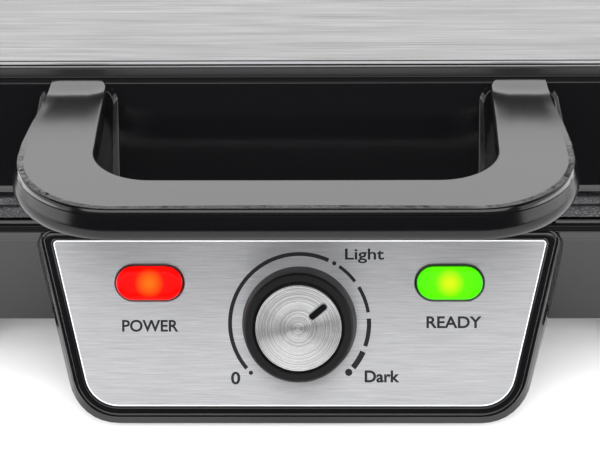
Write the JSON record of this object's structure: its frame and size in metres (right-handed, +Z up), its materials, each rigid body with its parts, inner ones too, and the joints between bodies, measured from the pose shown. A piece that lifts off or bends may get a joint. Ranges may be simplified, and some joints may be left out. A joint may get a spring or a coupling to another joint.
{
  "type": "waffle maker",
  "caption": "Electric waffle maker with hinged lid, wide U handle, sloping front control panel with rotary browning knob and two indicator lamps.",
  "frame": {"origin": "centre of the footprint box, on the surface that the feet stand on", "axes": "+X to the right seen from the front, +Y from the handle to the hinge, +Z up"},
  "size_m": [0.292, 0.3301, 0.1115],
  "materials": {
    "gloss_black": "high-gloss black moulding",
    "black_plastic": "matt black moulding",
    "rubber": "soft rubber",
    "brushed_steel": "long-line brushed stainless steel",
    "steel": "plain steel",
    "reflector_sheet": "bright sheet",
    "nonstick_plate": "cast aluminium with dark non-stick coating",
    "turned_aluminium": "face-turned rings",
    "red_lens": "clear red moulding, lit",
    "green_lens": "clear green moulding, lit",
    "lamp_bulb": "clear bulb",
    "white_moulding": "heat-resistant white moulding"
  },
  "bodies": {
    "base": {"base_shell": "gloss_black", "control_pod": "gloss_black", "bottom_cover": "black_plastic", "feet": "black_plastic", "cord_gland": "black_plastic", "foot_pads": "rubber", "control_fascia": "brushed_steel", "bottom_screws": "steel", "pod_screws": "steel", "lower_plate_screws": "steel", "hinge_pins": "steel", "thermostat_bracket": "steel", "lower_heater": "steel", "lower_heater_clamps": "steel", "thermostat": "steel", "lower_reflector": "reflector_sheet", "lower_plate": "nonstick_plate", "power_lens": "red_lens", "ready_lens": "green_lens", "power_lamp": "lamp_bulb", "ready_lamp": "lamp_bulb", "lamp_holders": "white_moulding", "terminal_block": "white_moulding", "lower_thermal_fuse": "white_moulding"},
    "lid": {"lid_shell": "gloss_black", "lid_panel": "brushed_steel", "handle_cover": "gloss_black", "handle_base": "gloss_black", "handle_screws": "steel", "upper_plate": "nonstick_plate", "upper_heater": "steel", "upper_heater_clamps": "steel", "upper_reflector": "reflector_sheet", "upper_thermal_fuse": "white_moulding", "upper_plate_screws": "steel"},
    "knob": {"knob_body": "gloss_black", "knob_cap": "turned_aluminium", "knob_pointer": "black_plastic", "thermostat_shaft": "steel"}
  },
  "joints": [
    {"name": "lid_hinge", "type": "hinge", "parent": "base", "child": "lid", "pos_m": [0, 0.158, 0.0636], "axis": [-1, 0, 0], "range_deg": [0, 105]},
    {"name": "knob_turn", "type": "hinge", "parent": "base", "child": "knob", "pos_m": [0, -0.1083, 0.031], "axis": [0, -0.9118, 0.4107], "range_deg": [-85, 185]}
  ]
}
